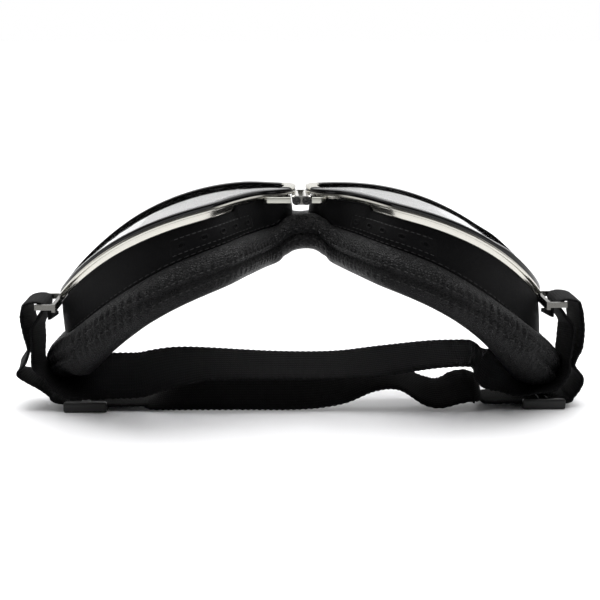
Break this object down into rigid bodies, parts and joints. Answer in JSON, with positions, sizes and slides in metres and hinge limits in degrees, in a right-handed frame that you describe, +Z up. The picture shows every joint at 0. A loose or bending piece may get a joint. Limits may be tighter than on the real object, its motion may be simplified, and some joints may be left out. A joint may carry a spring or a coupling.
{
  "type": "aviator goggles",
  "caption": "Split-lens riding goggles: two curved chrome lens frames hinged at the nose, padded leatherette face mask and a looped elastic strap with sliders.",
  "frame": {"origin": "centre of the overall box at the level of the table, midway between the two lens frames", "axes": "+X to the right seen with the nose side nearer, +Y towards the brow side, +Z up, the way the lenses face while the goggles lie on a table"},
  "size_m": [0.2106, 0.0686, 0.0802],
  "materials": {
    "frame_chrome": "bright polished chrome with a slightly warm cast",
    "hinge_steel": "satin nickel",
    "black_screw": "blackened steel",
    "gloss_bezel": "glossy black moulding",
    "lens_clear": "clear, faintly grey, hard coated",
    "gasket_rubber": "soft black rubber",
    "clamp_plastic": "matt black moulding",
    "black_leatherette": "fine grained black synthetic leather over foam",
    "elastic_webbing": "ribbed black woven elastic",
    "slider_plastic": "semi-gloss black moulding"
  },
  "bodies": {
    "bridge": {"hinge_link_front": "hinge_steel", "hinge_link_back": "hinge_steel", "left_hinge_pin": "black_screw", "right_hinge_pin": "black_screw", "nose_saddle": "black_leatherette", "brow_saddle": "black_leatherette", "upper_strap_run": "elastic_webbing", "lower_strap_run": "elastic_webbing", "left_side_strap": "elastic_webbing", "right_side_strap": "elastic_webbing", "left_strap_tail": "elastic_webbing", "right_strap_tail": "elastic_webbing"},
    "left_eye": {"left_bezel": "gloss_bezel", "left_frame": "frame_chrome", "left_lens": "lens_clear", "left_lens_gasket": "gasket_rubber", "left_clamp_ring": "clamp_plastic", "left_hinge_cap": "frame_chrome", "left_strap_lug": "frame_chrome", "left_lug_rivets": "hinge_steel", "left_mask_wall": "black_leatherette", "left_cushion": "black_leatherette", "left_nose_vent": "clamp_plastic", "left_brow_vent": "clamp_plastic"},
    "right_eye": {"right_bezel": "gloss_bezel", "right_frame": "frame_chrome", "right_lens": "lens_clear", "right_lens_gasket": "gasket_rubber", "right_clamp_ring": "clamp_plastic", "right_hinge_cap": "frame_chrome", "right_strap_lug": "frame_chrome", "right_lug_rivets": "hinge_steel", "right_mask_wall": "black_leatherette", "right_cushion": "black_leatherette", "right_nose_vent": "clamp_plastic", "right_brow_vent": "clamp_plastic"},
    "left_adjuster": {"left_slider": "slider_plastic"},
    "right_adjuster": {"right_slider": "slider_plastic"}
  },
  "joints": [
    {"name": "left_eye_fold", "type": "hinge", "parent": "bridge", "child": "left_eye", "pos_m": [-0.0019, 0, 0.0767], "axis": [0, 1, 0], "range_deg": [-2.5, 12], "deforming": ["left_side_strap", "left_strap_tail", "nose_saddle", "brow_saddle"]},
    {"name": "right_eye_fold", "type": "hinge", "parent": "bridge", "child": "right_eye", "pos_m": [0.0019, 0, 0.0767], "axis": [0, -1, 0], "range_deg": [-2.5, 12], "deforming": ["right_side_strap", "right_strap_tail"]},
    {"name": "left_slider_slide", "type": "slide", "parent": "bridge", "child": "left_adjuster", "axis": [1, 0, 0], "range_m": [0, 0.012]},
    {"name": "right_slider_slide", "type": "slide", "parent": "bridge", "child": "right_adjuster", "axis": [-1, 0, 0], "range_m": [0, 0.012]}
  ]
}
